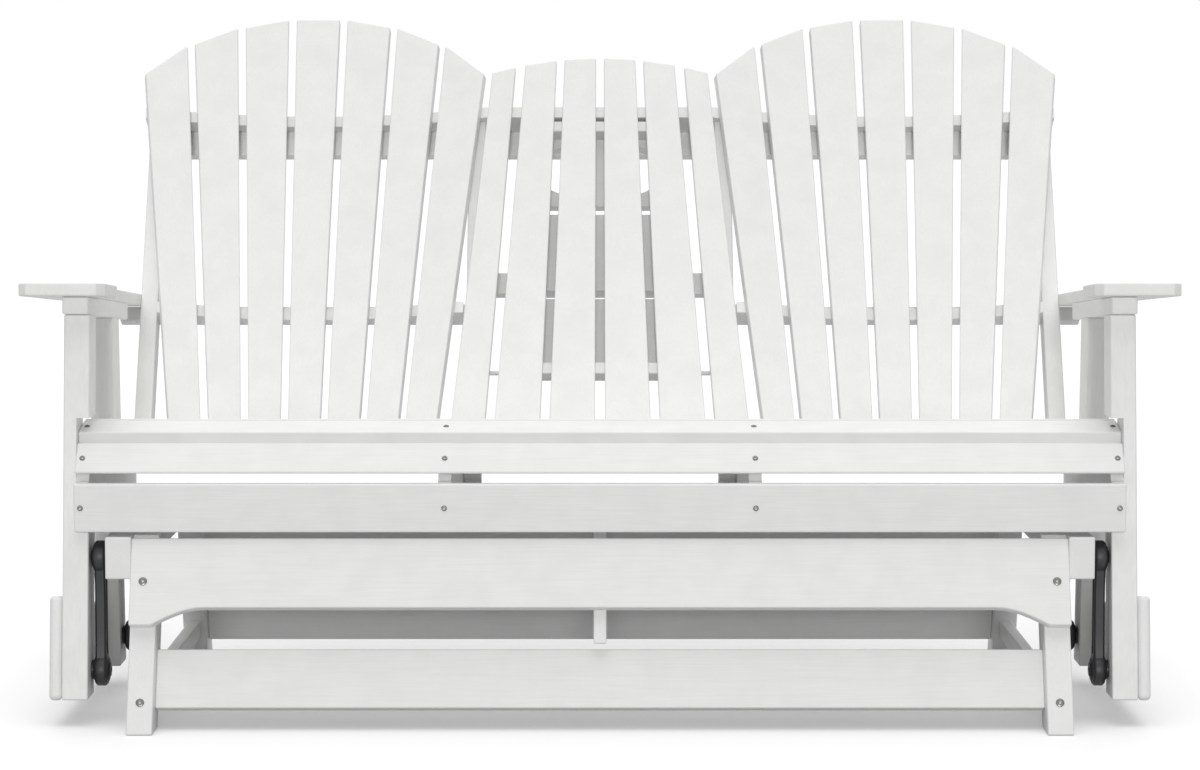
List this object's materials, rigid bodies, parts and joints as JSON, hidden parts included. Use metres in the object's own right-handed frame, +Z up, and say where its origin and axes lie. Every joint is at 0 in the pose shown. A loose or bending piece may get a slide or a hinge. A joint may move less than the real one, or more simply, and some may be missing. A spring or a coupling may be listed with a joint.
{
  "type": "glider loveseat",
  "caption": "Outdoor glider loveseat with two fan-shaped slatted backs, a middle back that folds down as a cup-holder console, and a seat swinging on link arms.",
  "frame": {"origin": "on the floor, under the middle of the whole object's box", "axes": "+X to the right as seen from the front, -Y towards the front, +Z up"},
  "size_m": [1.6978, 0.9568, 1.0496],
  "materials": {
    "lumber": "satin",
    "link": "satin",
    "bearing": "matte",
    "steel": "satin"
  },
  "bodies": {
    "base": {"base_front_apron": "lumber", "base_rear_apron": "lumber", "base_front_stretcher": "lumber", "base_rear_stretcher": "lumber", "base_front_leg_left": "lumber", "base_front_leg_right": "lumber", "base_rear_leg_left": "lumber", "base_rear_leg_right": "lumber", "base_upper_rail_left": "lumber", "base_upper_rail_right": "lumber", "base_lower_rail_left": "lumber", "base_lower_rail_right": "lumber", "base_centre_rail": "lumber", "base_screws": "steel", "base_pivot_bolts": "steel"},
    "front_links": {"front_link_left": "link", "front_link_right": "link", "front_link_bearings": "bearing"},
    "rear_links": {"rear_link_left": "link", "rear_link_right": "link", "rear_link_bearings": "bearing"},
    "seat": {"outer_support_left": "lumber", "outer_support_right": "lumber", "inner_support_left": "lumber", "inner_support_right": "lumber", "seat_apron_slat": "lumber", "seat_lower_nose_slat": "lumber", "seat_nose_slat": "lumber", "seat_slats": "lumber", "front_post_left": "lumber", "front_post_right": "lumber", "rear_post_left": "lumber", "rear_post_right": "lumber", "side_board_left": "lumber", "side_board_right": "lumber", "arm_rail_left": "lumber", "arm_rail_right": "lumber", "arm_left": "lumber", "arm_right": "lumber", "outer_upright_left": "lumber", "outer_upright_right": "lumber", "inner_upright_left": "lumber", "inner_upright_right": "lumber", "upper_back_rail": "lumber", "contoured_back_support": "lumber", "lower_back_rails": "lumber", "lower_back_supports": "lumber", "foot_supports": "lumber", "mid_back_rail": "lumber", "left_fan_slats": "lumber", "right_fan_slats": "lumber", "fixed_centre_slats": "lumber", "seat_screws": "steel", "seat_pivot_bolts": "steel"},
    "console": {"console_slats": "lumber", "console_cup_board": "lumber", "console_boards": "lumber", "console_side_frames": "lumber", "console_hinge_block": "lumber", "console_pivot_pins": "steel"}
  },
  "joints": [
    {"name": "glide", "type": "hinge", "parent": "base", "child": "front_links", "pos_m": [0, -0.36253, 0.2455], "axis": [1, 0, 0], "range_deg": [-18, 18]},
    {"name": "rear_glide", "type": "hinge", "parent": "base", "child": "rear_links", "pos_m": [0, -0.03253, 0.2455], "axis": [1, 0, 0], "range_deg": [-18, 18]},
    {"name": "seat_hang", "type": "hinge", "parent": "front_links", "child": "seat", "pos_m": [0, -0.36253, 0.078], "axis": [1, 0, 0], "range_deg": [-18, 18]},
    {"name": "console_fold", "type": "hinge", "parent": "seat", "child": "console", "pos_m": [0, 0.17122, 0.4738], "axis": [1, 0, 0], "range_deg": [0, 116]}
  ],
  "couplings": [
    {"joint": "rear_glide", "follows": "glide", "ratio": 1},
    {"joint": "seat_hang", "follows": "glide", "ratio": -1}
  ]
}
